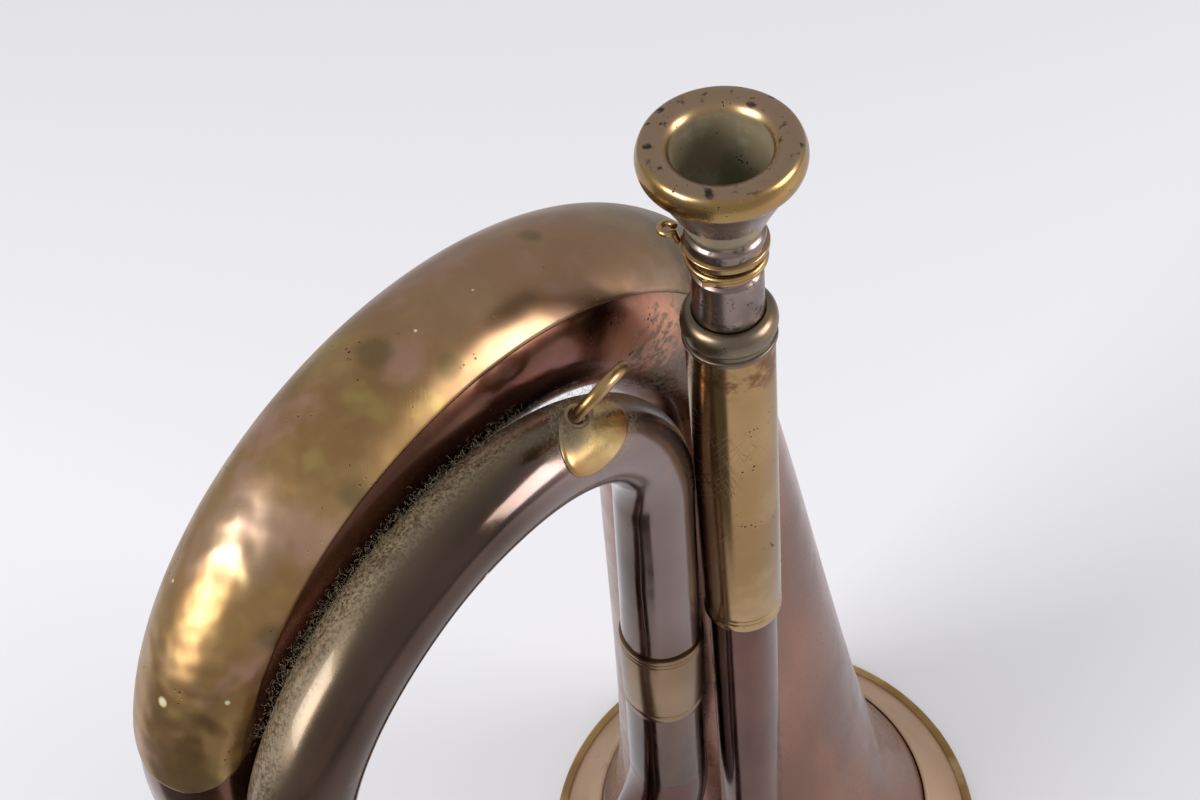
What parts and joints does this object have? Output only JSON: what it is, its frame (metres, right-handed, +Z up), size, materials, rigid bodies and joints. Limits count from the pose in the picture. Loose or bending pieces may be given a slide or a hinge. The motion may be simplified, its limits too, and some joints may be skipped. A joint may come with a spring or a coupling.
{
  "type": "bugle",
  "caption": "Coiled valveless duty bugle in copper with brass fittings, a plated cup mouthpiece and strap rings, standing on its flared bell rim.",
  "frame": {"origin": "middle of the bounding box's base, on the surface that the bell rim stands on", "axes": "+Z up, from the bell rim to the mouthpiece; the coils stand from the bell towards -X and -Y"},
  "size_m": [0.1378, 0.1828, 0.283],
  "materials": {
    "copper": "aged copper tube, red-brown to purple tarnish, polished by handling",
    "brass": "aged brass sheet and wire, olive-gold patina, rubbed bright on edges",
    "dark_brass": "dark bronze-green patina, turned bead",
    "silver_plate": "worn and tarnished silver plate with brass showing at the edges"
  },
  "bodies": {
    "bugle": {"bell": "copper", "bell_garland": "brass", "bell_rim_bead": "brass", "large_loop": "copper", "bow_guard": "brass", "small_loop": "copper", "first_lower_bow": "copper", "second_lower_bow": "copper", "small_leg_ferrule": "brass", "left_leg_ferrule": "brass", "large_leg_ferrule": "brass", "mouthpipe": "copper", "receiver_sleeve": "brass", "receiver_collar": "dark_brass", "strap_saddle": "brass", "strap_eye": "brass", "lower_strap_saddle": "brass", "lower_strap_eye": "brass", "mouthpipe_stay": "brass", "small_leg_stay": "brass", "coil_stay": "brass"},
    "mouthpiece_body": {"mouthpiece": "silver_plate"},
    "wire_body": {"mouthpiece_wire": "brass"},
    "ring_body": {"strap_ring": "brass"},
    "lower_ring_body": {"lower_strap_ring": "brass"}
  },
  "joints": [
    {"name": "mouthpiece_slide", "type": "slide", "parent": "bugle", "child": "mouthpiece_body", "axis": [0.009, 0.008, 0.9999], "range_m": [0, 0.045]},
    {"name": "mouthpiece_wire_spin", "type": "hinge", "parent": "mouthpiece_body", "child": "wire_body", "pos_m": [0.02061, 0.00345, 0.25818], "axis": [0.009, 0.008, 0.9999], "continuous": true},
    {"name": "strap_ring_swing", "type": "hinge", "parent": "bugle", "child": "ring_body", "pos_m": [-0.00021, -0.02108, 0.2439], "axis": [-0.1193, -0.8465, 0.5188], "range_deg": [-85, 60]},
    {"name": "lower_strap_ring_swing", "type": "hinge", "parent": "bugle", "child": "lower_ring_body", "pos_m": [-0.02885, -0.06555, 0.0307], "axis": [-0.5043, -0.7118, 0.489], "range_deg": [-75, 75]}
  ]
}
